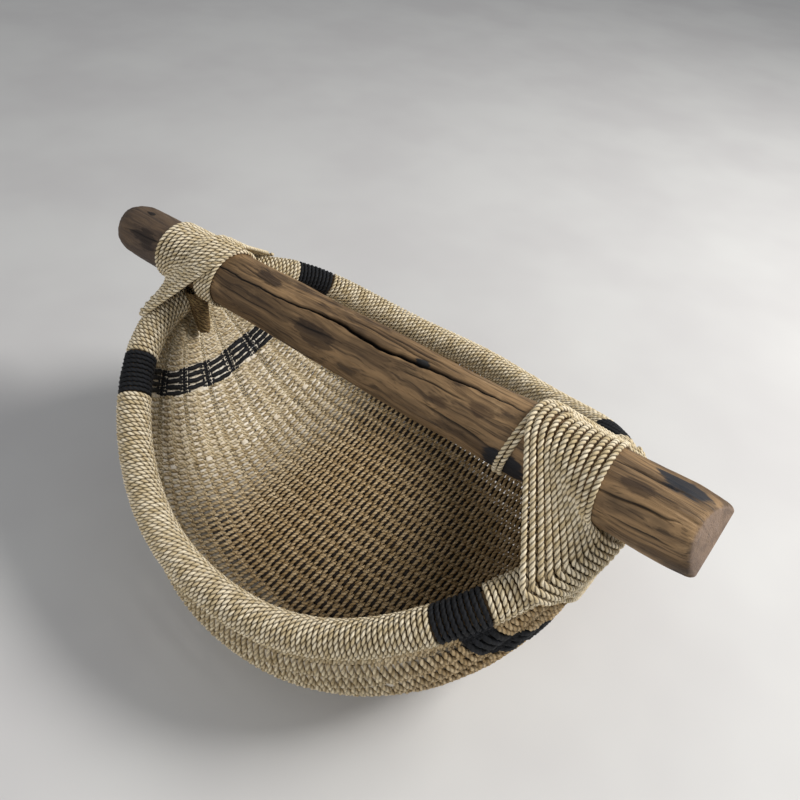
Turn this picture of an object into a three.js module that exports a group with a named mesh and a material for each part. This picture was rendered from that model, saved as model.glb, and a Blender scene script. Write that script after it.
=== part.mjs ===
// Driftwood basket: an oval woven bowl lashed under a driftwood bar that is its handle.
// Millimetres, +Z up. The origin is on the floor under the middle of the bar, and +X runs along the bar
// to its sawn end.
import * as THREE from 'three';

// Rim: an oval hoop that dips at the middle of each long side and climbs to the bar at both ends
const RIM_HALF_LENGTH = 241;
const RIM_HALF_WIDTH = 209;
const RIM_SHIFT = 15;
const RIM_HEIGHT = 117;
const RIM_END_RISE = 89;
const RISE_START = 2.9;
const RISE_FINISH = 1.6;
const HOOP_RADIUS = 10.6;
const RIM_WRAP_RADIUS = 16;

// Bowl under the rim: how deep it hangs, how full its walls are, and how its foot flattens
const BOWL_DEPTH = 112.3;
const POINT_DEPTH = 139;
const HANG_POWER = 1.56;
const HANG_POWER_ENDS = 0.42;
const HANG_POWER_SAWN_END = -0.12;
const BULGE = 0.075;
const FULLNESS = 0.18;
const FULLNESS_SIDES = 0.59;
const FULLNESS_ENDS = 0.16;
const FULLNESS_SAWN_END = 0.11;
const SKEW = -0.166;
const FOOT_BLEND = 2.5;
const END_CROWDING = 0.047;
const SAWN_END_CROWDING = 0.037;

// Weave and ribs
const RIB_COUNT = 31;
const RIB_WIDTH_SHARE = 0.38;
const RIB_THICKNESS = 1.7;
const WEAVE_WAVE = 3.6;
const WEAVE_SKIN = 3.4;
const CREST_SHARE = 0.26;
const RIB_CLEARANCE = 1.25;
const WEAVE_END_ANGLE = 68.5;
const BAND_X_ROUND_END = -180.5;
const BAND_X_SAWN_END = 209;
const BAND_HALF_ANGLE = 2.4;
const MIDDLE_STEPS = 10;
const FOOT_HALF_ANGLE = 13;
const BAND_STEPS = 1;
const END_STEPS = 2;

// Driftwood bar
const BAR_HALF_LENGTH = 330;
const BAR_RADIUS_ROUND_END = 26.4;
const BAR_RADIUS_MIDDLE = 29.4;
const BAR_RADIUS_SAWN_END = 31.8;
const BAR_Y_ROUND_END = -15;
const BAR_Y_SAWN_END = -2;
const BAR_SIDES = 14;
const SNOUT_TIP = -323;
const SNOUT_LENGTH = 30;
const SAWN_SHOULDER = 30;
const SAWN_CHAMFER = 8;
const CRACK_DEPTH = 5;
const CRACK_START = -200;
const CRACK_END = 168;
const CRACK_ANGLE_ROUND_END = 106;
const CRACK_ANGLE_SAWN_END = 80;

// Cord windings
const CORD_RADIUS = 2;
const CORD_SIDES = 4;
const CORD_GAP = 0.4;
const BLACK_CORD_RADIUS = 1.8;
const BLACK_TURNS = 9;
const BLACK_PITCH = 4.65;
const BLACK_STEPS = 8;
const LASHING_TURNS = 12;
const LOOP_ROUNDNESS = 1.5;
const HANG_ROLL_ROUND_END = 36;
const HANG_ROLL_SAWN_END = 14;
const BAR_TURN_PITCH = 4.7;
const BAR_TURN_STEPS = 12;

// Each pair runs from a lashing's innermost turn to its outermost: where it bends over the rim at the front and
// at the back, where it crosses the bar's front, top and back, and how far down the bowl's end it reaches
const LASHING_ROUND_END = {
  frontBend: [-86, -25],
  backBend: [90, 16],
  front: [-161, -241],
  top: [-150, -238],
  back: [-159, -240],
  drop: [72, -4],
};
const LASHING_SAWN_END = {
  frontBend: [-85, -24],
  backBend: [88, 21],
  front: [179, 254],
  top: [171, 251],
  back: [178, 251],
  drop: [82, 0],
};
const BAR_TURNS_ROUND_END = { turns: 5, x: -158, lean: 3 };
const BAR_TURNS_SAWN_END = { turns: 2, x: 164, lean: 2 };

// Rib bundles under the bar
const BUNDLE_RADIUS = 8;
const BUNDLE_TIP_RADIUS = 4;
const BUNDLE_INSET = 27;
const BUNDLE_LENGTH = 46;

// Fit
const SEAT = 0.3;
const FACET_ROOM = 0.35;

const HALF_TURN = Math.PI;
const QUARTER_TURN = Math.PI / 2;
const degrees = (angle) => (angle * Math.PI) / 180;
const mix = (a, b, t) => a + (b - a) * t;

// Rim curve

function rimRise(c) {
  const along = Math.min(Math.abs(c), 1);
  return RIM_END_RISE * (1 - Math.max(1 - along ** RISE_START, 0) ** RISE_FINISH);
}

function rimPoint(turn) {
  const x = RIM_SHIFT + RIM_HALF_LENGTH * Math.cos(turn);
  const y = RIM_HALF_WIDTH * Math.sin(turn);
  return new THREE.Vector3(x, y, RIM_HEIGHT + rimRise(Math.cos(turn)));
}

function rimFrame(turn) {
  const step = 1e-4;
  const along = rimPoint(turn + step).sub(rimPoint(turn - step)).normalize();
  const out = new THREE.Vector3(along.y, -along.x, 0).normalize();
  const up = new THREE.Vector3().crossVectors(out, along).normalize();
  if (up.z < 0) up.negate();
  return { along, out, up };
}

function turnAtX(x, side) {
  return side * Math.acos(THREE.MathUtils.clamp((x - RIM_SHIFT) / RIM_HALF_LENGTH, -1, 1));
}

const RIM_SAMPLES = Array.from({ length: 720 }, (_, i) => rimPoint((i / 720) * 2 * HALF_TURN));

function distanceToRim(point) {
  return Math.sqrt(Math.min(...RIM_SAMPLES.map((sample) => sample.distanceToSquared(point))));
}

// Bowl surface, reached by a direction on the lower half of a unit sphere

function bowlFromDirection(x, y, depth) {
  const down = Math.max(depth, 0);
  const fullness = FULLNESS + FULLNESS_SAWN_END * x + FULLNESS_SIDES * y * y + FULLNESS_ENDS * x * x;
  const spread = 1 + BULGE * down + fullness * down * down + SKEW * x * y * down;
  const drop = down ** (HANG_POWER + HANG_POWER_ENDS * x * x + HANG_POWER_SAWN_END * x);
  const hang = rimRise(x) * (1 - drop) - POINT_DEPTH * drop;
  const soft = FOOT_BLEND * Math.log1p(Math.exp((hang + BOWL_DEPTH) / FOOT_BLEND));
  const z = RIM_HEIGHT - BOWL_DEPTH + soft;
  return new THREE.Vector3(RIM_SHIFT + RIM_HALF_LENGTH * spread * x, RIM_HALF_WIDTH * spread * y, z);
}

// along runs from the round end (-90 degrees) to the sawn end, across from the front rim to the back rim
function bowlPoint(along, across) {
  const crowding = END_CROWDING + SAWN_END_CROWDING * Math.sin(along);
  const angle = along * (1 + crowding * Math.cos(across) ** 2 * (1 - (along / QUARTER_TURN) ** 2));
  const ring = Math.cos(angle);
  return bowlFromDirection(Math.sin(angle), ring * Math.sin(across), ring * Math.cos(across));
}

function inwardNormal(surface, a, b) {
  const step = 1e-4;
  const da = surface(a + step, b).sub(surface(a - step, b));
  const db = surface(a, b + step).sub(surface(a, b - step));
  return db.cross(da).negate().normalize();
}

function bisect(test, low, high) {
  for (let i = 0; i < 32; i += 1) {
    const middle = (low + high) / 2;
    if (test(middle)) low = middle;
    else high = middle;
  }
  return low;
}

// The weave stops where it meets the wrapped rim
const EDGE_SAG = 2.6;
const EDGE_DISTANCE = RIM_WRAP_RADIUS + SEAT + EDGE_SAG;
const edgeCache = new Map();

function edgeAngle(along) {
  const key = along.toFixed(6);
  if (!edgeCache.has(key)) {
    const clear = (across) => distanceToRim(bowlPoint(along, across)) > EDGE_DISTANCE;
    edgeCache.set(key, bisect(clear, 0, QUARTER_TURN));
  }
  return edgeCache.get(key);
}

// Ribs are spaced evenly across the bowl at every station along it
const SPACING_SAMPLES = 240;
const spacingCache = new Map();

function arcLengths(along) {
  const key = along.toFixed(6);
  if (!spacingCache.has(key)) {
    const edge = edgeAngle(along);
    const lengths = [0];
    let last = bowlPoint(along, -edge);
    for (let i = 1; i <= SPACING_SAMPLES; i += 1) {
      const next = bowlPoint(along, mix(-edge, edge, i / SPACING_SAMPLES));
      lengths.push(lengths[i - 1] + next.distanceTo(last));
      last = next;
    }
    spacingCache.set(key, lengths);
  }
  return spacingCache.get(key);
}

function acrossAngle(along, rib) {
  const lengths = arcLengths(along);
  const wanted = THREE.MathUtils.clamp(rib / RIB_COUNT, 0, 1) * lengths[SPACING_SAMPLES];
  const i = Math.max(1, lengths.findIndex((length) => length >= wanted - 1e-9));
  const part = (wanted - lengths[i - 1]) / (lengths[i] - lengths[i - 1]);
  return mix(-1, 1, (i - 1 + part) / SPACING_SAMPLES) * edgeAngle(along);
}

function wallPoint(along, rib, inset) {
  const across = acrossAngle(along, rib);
  const point = bowlPoint(along, across).addScaledVector(inwardNormal(bowlPoint, along, across), inset);
  if (point.z < 0) point.z = 0;
  return point;
}

// Weave zones from end to end, and the stations along them that the ribs share
const bandAlong = (x) => Math.asin((x - RIM_SHIFT) / RIM_HALF_LENGTH);
const ZONE_GAP = degrees(0.08);
const BAND_HALF = degrees(BAND_HALF_ANGLE);
const ROUND_BAND = bandAlong(BAND_X_ROUND_END);
const SAWN_BAND = bandAlong(BAND_X_SAWN_END);
const WEAVE_END = degrees(WEAVE_END_ANGLE);
const ZONES = [
  { name: 'weave_round_end', from: -WEAVE_END, to: ROUND_BAND - BAND_HALF, steps: END_STEPS },
  { name: 'weave_black_band_round_end', from: ROUND_BAND - BAND_HALF, to: ROUND_BAND + BAND_HALF, steps: BAND_STEPS },
  { name: 'weave_middle', from: ROUND_BAND + BAND_HALF, to: SAWN_BAND - BAND_HALF, steps: MIDDLE_STEPS, foot: true },
  { name: 'weave_black_band_sawn_end', from: SAWN_BAND - BAND_HALF, to: SAWN_BAND + BAND_HALF, steps: BAND_STEPS },
  { name: 'weave_sawn_end', from: SAWN_BAND + BAND_HALF, to: WEAVE_END, steps: END_STEPS },
];

function evenStations(from, to, steps) {
  return Array.from({ length: steps + 1 }, (_, i) => mix(from, to, i / steps));
}

// In the middle zone two steps span the flat foot, and the others share what is left on either side
function stationsOf(zone) {
  const first = zone.from + ZONE_GAP / 2;
  const last = zone.to - ZONE_GAP / 2;
  if (!zone.foot) return evenStations(first, last, zone.steps);
  const foot = degrees(FOOT_HALF_ANGLE);
  const side = (zone.steps - 2) / 2;
  return [...evenStations(first, -foot, side), 0, ...evenStations(foot, last, side)];
}

const STATIONS = ZONES.flatMap(stationsOf);

// Materials

function finish(color, roughness) {
  return new THREE.MeshStandardMaterial({ color, roughness, metalness: 0, side: THREE.FrontSide });
}

const STRAW = 0xcbb98e;
const DARK_STRAW = 0x8d7650;
const BLACK_CORD = 0x15161b;
const SPLINT = 0xd9c7ad;
const DRIFTWOOD = 0x6b4a33;
const HOOP_CANE = 0x9a7c55;

const basket = new THREE.Group();

function addMesh(name, geometry, color, roughness = 0.85) {
  const mesh = new THREE.Mesh(geometry, finish(color, roughness));
  mesh.name = name;
  basket.add(mesh);
  return mesh;
}

// An extrusion whose depth counts stations, bent onto the bowl by a mapping of each vertex
function bentExtrusion(shape, steps, place) {
  const geometry = new THREE.ExtrudeGeometry(shape, { depth: steps, steps, bevelEnabled: false });
  const position = geometry.attributes.position;
  const vertex = new THREE.Vector3();
  for (let i = 0; i < position.count; i += 1) {
    vertex.fromBufferAttribute(position, i);
    const placed = place(vertex.x, vertex.y, Math.round(vertex.z));
    position.setXYZ(i, placed.x, placed.y, placed.z);
  }
  geometry.computeVertexNormals();
  return geometry;
}

// The section of the weave waves in and out round the ribs, as each cord of it does
function weaveSection() {
  const half = WEAVE_SKIN / 2;
  const flat = CREST_SHARE / 2;
  const outer = [[0, -half]];
  const inner = [[0, half]];
  for (let i = 0; i < RIB_COUNT; i += 1) {
    const rib = i + 0.5;
    if (i % 2) {
      outer.push([rib - flat, -WEAVE_WAVE - half], [rib + flat, -WEAVE_WAVE - half]);
      inner.push([rib, half - WEAVE_WAVE]);
    } else {
      outer.push([rib, WEAVE_WAVE - half]);
      inner.push([rib, WEAVE_WAVE + half]);
    }
  }
  outer.push([RIB_COUNT, -half]);
  inner.push([RIB_COUNT, half]);
  return new THREE.Shape([...outer, ...inner.reverse()].map(([x, y]) => new THREE.Vector2(x, y)));
}

function addWeave() {
  const section = weaveSection();
  for (const zone of ZONES) {
    const stations = stationsOf(zone);
    const color = zone.name.includes('black') ? BLACK_CORD : STRAW;
    const place = (rib, inset, station) => wallPoint(stations[station], rib, inset);
    addMesh(zone.name, bentExtrusion(section, zone.steps, place), color);
  }
}

// Each rib is one flat splint on the hollow side of the wave, from rim to rim along the bowl
function addRibs() {
  const halfWidth = RIB_WIDTH_SHARE / 2;
  const slopeShare = halfWidth / (1 - CREST_SHARE / 2);
  const near = WEAVE_WAVE * (1 - 2 * slopeShare) - WEAVE_SKIN / 2 - RIB_CLEARANCE;
  const far = near - RIB_THICKNESS;
  for (let i = 0; i < RIB_COUNT; i += 1) {
    const side = i % 2 ? -1 : 1;
    const low = Math.min(side * far, side * near);
    const high = Math.max(side * far, side * near);
    const section = new THREE.Shape();
    section.moveTo(-halfWidth, low);
    section.lineTo(halfWidth, low);
    section.lineTo(halfWidth, high);
    section.lineTo(-halfWidth, high);
    const rib = i + 0.5;
    const place = (offset, inset, station) => wallPoint(STATIONS[station], rib + offset, inset);
    const name = `rib_${String(i + 1).padStart(2, '0')}`;
    addMesh(name, bentExtrusion(section, STATIONS.length - 1, place), SPLINT, 0.7);
  }
}

// A curve that is stepped by its own parameter, so that its stations stay where they are put
class SteppedCurve extends THREE.Curve {
  constructor(points) {
    super();
    this.points = points;
  }

  getPoint(t, target = new THREE.Vector3()) {
    const place = THREE.MathUtils.clamp(t, 0, 1) * (this.points.length - 1);
    const i = Math.min(Math.floor(place + 1e-6), this.points.length - 2);
    return target.copy(this.points[i]).lerp(this.points[i + 1], Math.max(place - i, 0));
  }

  getPointAt(u, target) {
    return this.getPoint(u, target);
  }

  getTangentAt(u, target = new THREE.Vector3()) {
    const i = Math.round(THREE.MathUtils.clamp(u, 0, 1) * (this.points.length - 1));
    const before = this.points[Math.max(i - 1, 0)];
    const after = this.points[Math.min(i + 1, this.points.length - 1)];
    return target.copy(after).sub(before).normalize();
  }
}

function ringShape(radius, sides, bore = 0) {
  const corners = (size) => Array.from({ length: sides }, (_, i) => {
    const angle = ((i + 0.5) / sides) * 2 * HALF_TURN;
    return new THREE.Vector2(size * Math.cos(angle), size * Math.sin(angle));
  });
  const shape = new THREE.Shape(corners(radius));
  if (bore > 0) shape.holes.push(new THREE.Path(corners(bore)));
  return shape;
}

function sweep(shape, points) {
  const extrudePath = new SteppedCurve(points);
  const steps = points.length - 1;
  return new THREE.ExtrudeGeometry(shape, { extrudePath, steps, bevelEnabled: false });
}

// Rim hoop and its cord wrapping

class RimCurve extends THREE.Curve {
  getPoint(t, target = new THREE.Vector3()) {
    return target.copy(rimPoint(t * 2 * HALF_TURN));
  }
}

const HOOP_STEPS = 80;
const HOOP_SIDES = 6;
const WRAP_SIDES = 10;
const WRAP_STEP_LENGTH = 22;
const BLACK_LENGTH = BLACK_TURNS * BLACK_PITCH + 2 * BLACK_CORD_RADIUS;

function rimArcLength(from, to) {
  let length = 0;
  const samples = 60;
  for (let i = 0; i < samples; i += 1) {
    const a = rimPoint(mix(from, to, i / samples));
    length += a.distanceTo(rimPoint(mix(from, to, (i + 1) / samples)));
  }
  return length;
}

function turnAfter(start, length, direction) {
  const far = (turn) => rimArcLength(start, start + direction * turn) < length;
  return start + direction * bisect(far, 0, HALF_TURN);
}

const BLACK_WRAPS = [
  { name: 'black_wrap_front_round_end', turn: turnAtX(BAND_X_ROUND_END, -1) },
  { name: 'black_wrap_front_sawn_end', turn: turnAtX(BAND_X_SAWN_END, -1) },
  { name: 'black_wrap_back_sawn_end', turn: turnAtX(BAND_X_SAWN_END, 1) },
  { name: 'black_wrap_back_round_end', turn: turnAtX(BAND_X_ROUND_END, 1) },
];

function addHoop() {
  const hoop = new THREE.TubeGeometry(new RimCurve(), HOOP_STEPS, HOOP_RADIUS, HOOP_SIDES, true);
  addMesh('rim_hoop', hoop, HOOP_CANE);
}

function addRimWraps() {
  const bore = (HOOP_RADIUS + SEAT + FACET_ROOM) / Math.cos(HALF_TURN / WRAP_SIDES);
  const section = ringShape(RIM_WRAP_RADIUS, WRAP_SIDES, bore);
  const half = BLACK_LENGTH / 2 + 2 * SEAT + FACET_ROOM;
  const [frontRound, frontSawn, backSawn, backRound] = BLACK_WRAPS.map((wrap) => wrap.turn);
  const runs = [
    { name: 'rim_wrap_front', from: frontRound, to: frontSawn },
    { name: 'rim_wrap_sawn_end', from: frontSawn, to: backSawn },
    { name: 'rim_wrap_back', from: backSawn, to: backRound },
    { name: 'rim_wrap_round_end', from: backRound, to: frontRound + 2 * HALF_TURN },
  ];
  for (const run of runs) {
    const from = turnAfter(run.from, half, 1);
    const to = turnAfter(run.to, half, -1);
    const steps = Math.max(4, Math.round(rimArcLength(from, to) / WRAP_STEP_LENGTH));
    const points = Array.from({ length: steps + 1 }, (_, i) => rimPoint(mix(from, to, i / steps)));
    addMesh(run.name, sweep(section, points), STRAW);
  }
}

// Least gap between neighbouring turns of a winding, measured between its cord's straight stretches
function leastSelfGap(points, stepsPerTurn, radius) {
  let least = Infinity;
  const skip = Math.round(stepsPerTurn * 0.6);
  const segment = new THREE.Line3();
  const nearest = new THREE.Vector3();
  for (let i = 0; i < points.length; i += 1) {
    for (let j = i + skip; j < Math.min(points.length - 1, i + 2 * stepsPerTurn); j += 1) {
      segment.set(points[j], points[j + 1]);
      segment.closestPointToPoint(points[i], true, nearest);
      least = Math.min(least, nearest.distanceTo(points[i]));
    }
  }
  return least - 2 * radius;
}

function addWinding(name, points, stepsPerTurn, radius, color) {
  const gap = leastSelfGap(points, stepsPerTurn, radius);
  console.log(`${name}: least gap between its turns ${gap.toFixed(2)} mm`);
  addMesh(name, sweep(ringShape(radius, CORD_SIDES), points), color);
}

function addBlackWraps() {
  const radius = (HOOP_RADIUS + SEAT + BLACK_CORD_RADIUS) / Math.cos(HALF_TURN / BLACK_STEPS);
  for (const wrap of BLACK_WRAPS) {
    const half = (BLACK_TURNS * BLACK_PITCH) / 2;
    const from = turnAfter(wrap.turn, half, -1);
    const to = turnAfter(wrap.turn, half, 1);
    const steps = BLACK_TURNS * BLACK_STEPS;
    const points = [];
    for (let i = 0; i <= steps; i += 1) {
      const turn = mix(from, to, i / steps);
      const { out, up } = rimFrame(turn);
      const angle = (i / BLACK_STEPS) * 2 * HALF_TURN - QUARTER_TURN;
      const point = rimPoint(turn).addScaledVector(out, radius * Math.cos(angle));
      points.push(point.addScaledVector(up, radius * Math.sin(angle)));
    }
    addWinding(wrap.name, points, BLACK_STEPS, BLACK_CORD_RADIUS, BLACK_CORD);
  }
}

// Driftwood bar: it rests on the wrapped rim at both ends

function barRadius(x) {
  const t = (x + BAR_HALF_LENGTH) / (2 * BAR_HALF_LENGTH);
  const half = t < 0.5 ? mix(BAR_RADIUS_ROUND_END, BAR_RADIUS_MIDDLE, t * 2)
    : mix(BAR_RADIUS_MIDDLE, BAR_RADIUS_SAWN_END, t * 2 - 1);
  return half;
}

function barAxisY(x) {
  return mix(BAR_Y_ROUND_END, BAR_Y_SAWN_END, (x + BAR_HALF_LENGTH) / (2 * BAR_HALF_LENGTH));
}

const POLES = [RIM_SHIFT - RIM_HALF_LENGTH, RIM_SHIFT + RIM_HALF_LENGTH];
const seatHeight = (x) => RIM_HEIGHT + RIM_END_RISE + RIM_WRAP_RADIUS + SEAT + barRadius(x);

function barAxisZ(x) {
  const t = (x - POLES[0]) / (POLES[1] - POLES[0]);
  return mix(seatHeight(POLES[0]), seatHeight(POLES[1]), t);
}

// Worn flats and swells of the wood, kept off the seats and the lashings
function barSwell(x, angle) {
  const onSeats = Math.min(...POLES.map((pole) => Math.abs(x - pole)));
  const free = THREE.MathUtils.smoothstep(onSeats, 100, 160);
  const flats = 0.045 * Math.cos(3 * angle + x * 0.006) + 0.02 * Math.sin(2 * angle - x * 0.011);
  return 1 + free * (flats - 0.02);
}

function crackDepth(x) {
  const t = (x - CRACK_START) / (CRACK_END - CRACK_START);
  if (t <= 0 || t >= 1) return 0;
  return CRACK_DEPTH * Math.sin(HALF_TURN * t) ** 0.5;
}

function barSection(x, scale) {
  const along = THREE.MathUtils.clamp((x - CRACK_START) / (CRACK_END - CRACK_START), 0, 1);
  const crack = degrees(mix(CRACK_ANGLE_ROUND_END, CRACK_ANGLE_SAWN_END, along));
  const lips = degrees(4);
  const spread = (2 * HALF_TURN - 2 * lips) / (BAR_SIDES - 2);
  const angles = [crack, ...Array.from({ length: BAR_SIDES - 1 }, (_, i) => crack + lips + i * spread)];
  return angles.map((angle, i) => {
    const radius = barRadius(x) * barSwell(x, angle) * scale - (i === 0 ? crackDepth(x) : 0);
    return new THREE.Vector3(x, barAxisY(x) + radius * Math.cos(angle), barAxisZ(x) + radius * Math.sin(angle));
  });
}

// A closed loft through rings of equal count, each end closed by a fan
function loft(rings) {
  const count = rings[0].length;
  const centre = (ring) => ring.reduce((sum, p) => sum.add(p), new THREE.Vector3()).divideScalar(count);
  const vertices = [...rings.flat(), centre(rings[0]), centre(rings[rings.length - 1])];
  const index = [];
  for (let ring = 0; ring < rings.length - 1; ring += 1) {
    for (let i = 0; i < count; i += 1) {
      const a = ring * count + i;
      const b = ring * count + ((i + 1) % count);
      index.push(a, b, a + count, b, b + count, a + count);
    }
  }
  const firstCentre = vertices.length - 2;
  const lastRing = (rings.length - 1) * count;
  for (let i = 0; i < count; i += 1) {
    const next = (i + 1) % count;
    index.push(firstCentre, next, i);
    index.push(firstCentre + 1, lastRing + i, lastRing + next);
  }
  const geometry = new THREE.BufferGeometry().setFromPoints(vertices);
  geometry.setIndex(index);
  geometry.computeVertexNormals();
  return geometry;
}

function addBar() {
  const rings = [];
  const snoutRings = 4;
  for (let i = 0; i < snoutRings; i += 1) {
    const angle = degrees(12) + (degrees(70) * i) / (snoutRings - 1);
    const x = SNOUT_TIP + SNOUT_LENGTH * (1 - Math.cos(angle));
    rings.push(barSection(x, Math.sin(angle)));
  }
  const bodyStart = SNOUT_TIP + SNOUT_LENGTH * 1.3;
  const bodyEnd = BAR_HALF_LENGTH - SAWN_SHOULDER;
  const bodySteps = 18;
  for (let i = 0; i <= bodySteps; i += 1) {
    rings.push(barSection(mix(bodyStart, bodyEnd, i / bodySteps), 1));
  }
  rings.push(barSection(BAR_HALF_LENGTH - SAWN_CHAMFER, 0.95));
  rings.push(barSection(BAR_HALF_LENGTH, 0.8));
  addMesh('driftwood_bar', loft(rings), DRIFTWOOD, 0.75);
}

// Lashings: each turn passes over the bar, down to the rim, round the outside of the bowl's end and back up

const LIFT = CORD_RADIUS + CORD_GAP;
const ARC_STEPS = 6;
const LOOP_ANGLES = [0, 14, 23, 33, 48, 68, 90, 112, 132, 147, 157, 166, 180].map(degrees);
const TURN_POINTS = ARC_STEPS + 1 + LOOP_ANGLES.length;
const TOP_ROLL = degrees(60);
const ROLL_STEP = degrees(36);
const SKIN_RADIUS = (RIM_WRAP_RADIUS + LIFT) / Math.cos(ROLL_STEP / 2);
const WALL_LIFT = WEAVE_WAVE + WEAVE_SKIN / 2 + LIFT + 2 * FACET_ROOM;

function meridianPoint(turn, depthAngle) {
  const ring = Math.cos(depthAngle);
  return bowlFromDirection(ring * Math.cos(turn), ring * Math.sin(turn), Math.sin(depthAngle));
}

function onTube(turn, roll) {
  const { out, up } = rimFrame(turn);
  const point = rimPoint(turn).addScaledVector(out, SKIN_RADIUS * Math.cos(roll));
  return point.addScaledVector(up, SKIN_RADIUS * Math.sin(roll));
}

// A point on the outside of the basket's end: run is measured down from the rim's outermost line.
// A cord leaves the rim on a straight line and keeps to it until it meets the weave.
function outerSkin(turn, run, hangRoll) {
  const tubeRun = SKIN_RADIUS * hangRoll;
  if (run <= tubeRun) return onTube(turn, -run / SKIN_RADIUS);
  const { out, up } = rimFrame(turn);
  const extra = run - tubeRun;
  const hanging = onTube(turn, -hangRoll);
  hanging.addScaledVector(out, -extra * Math.sin(hangRoll)).addScaledVector(up, -extra * Math.cos(hangRoll));
  const level = (angle) => meridianPoint(turn, angle).z > hanging.z;
  const angle = bisect(level, 0, QUARTER_TURN);
  const normal = inwardNormal(meridianPoint, turn, angle);
  if (normal.dot(out) > 0) normal.negate();
  const onWall = meridianPoint(turn, angle).addScaledVector(normal, -WALL_LIFT);
  return onWall.clone().sub(hanging).dot(out) > 0 ? onWall : hanging;
}

const barTurnsOf = (end) => (end > 0 ? BAR_TURNS_SAWN_END : BAR_TURNS_ROUND_END);

// How far the windings on the bar alone lift a cord that crosses over them
function pileHeight(end, x) {
  const { turns, x: first, lean } = barTurnsOf(end);
  const reach = turns * BAR_TURN_PITCH + lean + 2 * CORD_RADIUS;
  const covered = end > 0 ? first - lean - x : x - first - lean;
  const beyond = Math.max(covered, -covered - reach, 0);
  return (2 * CORD_RADIUS + CORD_GAP) * (1 - THREE.MathUtils.smoothstep(beyond, 1, 12));
}

function barSkin(end, x, angle, bow) {
  const radius = (barRadius(x) + LIFT + pileHeight(end, x)) / Math.cos(bow);
  return new THREE.Vector3(x, barAxisY(x) + radius * Math.cos(angle), barAxisZ(x) + radius * Math.sin(angle));
}

// The angle on the bar at which a straight cord from a point leaves it: side -1 is the front, 1 the back
function leavingAngle(end, x, from, side) {
  const y = from.y - barAxisY(x);
  const z = from.z - barAxisZ(x);
  const radius = barRadius(x) + LIFT + pileHeight(end, x);
  const lean = Math.acos(THREE.MathUtils.clamp(radius / Math.hypot(y, z), -1, 1));
  const angle = Math.atan2(z, y) + side * lean;
  return angle < -QUARTER_TURN ? angle + 2 * HALF_TURN : angle;
}

function lashingPoints(end, route, hangRoll) {
  const turnAtY = (y) => {
    const angle = Math.asin(y / RIM_HALF_WIDTH);
    return end > 0 ? angle : HALF_TURN - angle;
  };
  const at = (range, u) => mix(range[0], range[1], u);
  const topRun = -SKIN_RADIUS * TOP_ROLL;
  const power = 2 / LOOP_ROUNDNESS;
  const share = (k, station) => THREE.MathUtils.clamp((k + station / TURN_POINTS) / LASHING_TURNS, 0, 1);
  const loopPoint = (u, angle) => {
    const swing = Math.sign(Math.cos(angle)) * Math.abs(Math.cos(angle)) ** power;
    const middle = (at(route.frontBend, u) + at(route.backBend, u)) / 2;
    const half = (at(route.backBend, u) - at(route.frontBend, u)) / 2;
    const run = topRun + (at(route.drop, u) - topRun) * Math.abs(Math.sin(angle)) ** power;
    return outerSkin(turnAtY(middle + swing * half), run, hangRoll);
  };
  const points = [];
  for (let k = 0; k < LASHING_TURNS; k += 1) {
    // over the rim at the back, round the outside of the end, and over the rim at the front
    LOOP_ANGLES.forEach((angle, i) => points.push(loopPoint(share(k, i), angle)));
    // up and over the bar, from its front to its back
    const u = share(k, LOOP_ANGLES.length + ARC_STEPS / 2);
    const [frontX, topX, backX] = [route.front, route.top, route.back].map((range) => at(range, u));
    const from = leavingAngle(end, frontX, points[points.length - 1], -1);
    const to = leavingAngle(end, backX, loopPoint(share(k + 1, 0), 0), 1);
    const bow = Math.abs(from - to) / ARC_STEPS / 2;
    for (let i = 0; i <= ARC_STEPS; i += 1) {
      const t = i / ARC_STEPS;
      const x = frontX * (1 - t) * (1 - 2 * t) + topX * 4 * t * (1 - t) + backX * t * (2 * t - 1);
      points.push(barSkin(end, x, mix(from, to, t), bow));
    }
  }
  return points;
}

function addLashings() {
  const roundEnd = lashingPoints(-1, LASHING_ROUND_END, degrees(HANG_ROLL_ROUND_END));
  addWinding('lashing_round_end', roundEnd, TURN_POINTS, CORD_RADIUS, STRAW);
  const sawnEnd = lashingPoints(1, LASHING_SAWN_END, degrees(HANG_ROLL_SAWN_END));
  addWinding('lashing_sawn_end', sawnEnd, TURN_POINTS, CORD_RADIUS, STRAW);
}

// Turns that go round the bar alone, on the inner side of the lashing
function barTurnPoints(end) {
  const { turns, x: first, lean } = barTurnsOf(end);
  const points = [];
  const steps = turns * BAR_TURN_STEPS;
  for (let i = 0; i <= steps; i += 1) {
    const angle = (i / BAR_TURN_STEPS) * 2 * HALF_TURN - QUARTER_TURN;
    const x = first + end * (BAR_TURN_PITCH * (i / BAR_TURN_STEPS - turns * (end > 0 ? 1 : 0))) + lean * Math.sin(angle);
    const radius = (barRadius(x) + CORD_RADIUS) / Math.cos(HALF_TURN / BAR_TURN_STEPS);
    points.push(new THREE.Vector3(x, barAxisY(x) + radius * Math.cos(angle), barAxisZ(x) + radius * Math.sin(angle)));
  }
  return points;
}

function addBarTurns() {
  addWinding('bar_turns_round_end', barTurnPoints(-1), BAR_TURN_STEPS, CORD_RADIUS, STRAW);
  addWinding('bar_turns_sawn_end', barTurnPoints(1), BAR_TURN_STEPS, CORD_RADIUS, STRAW);
}

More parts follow.
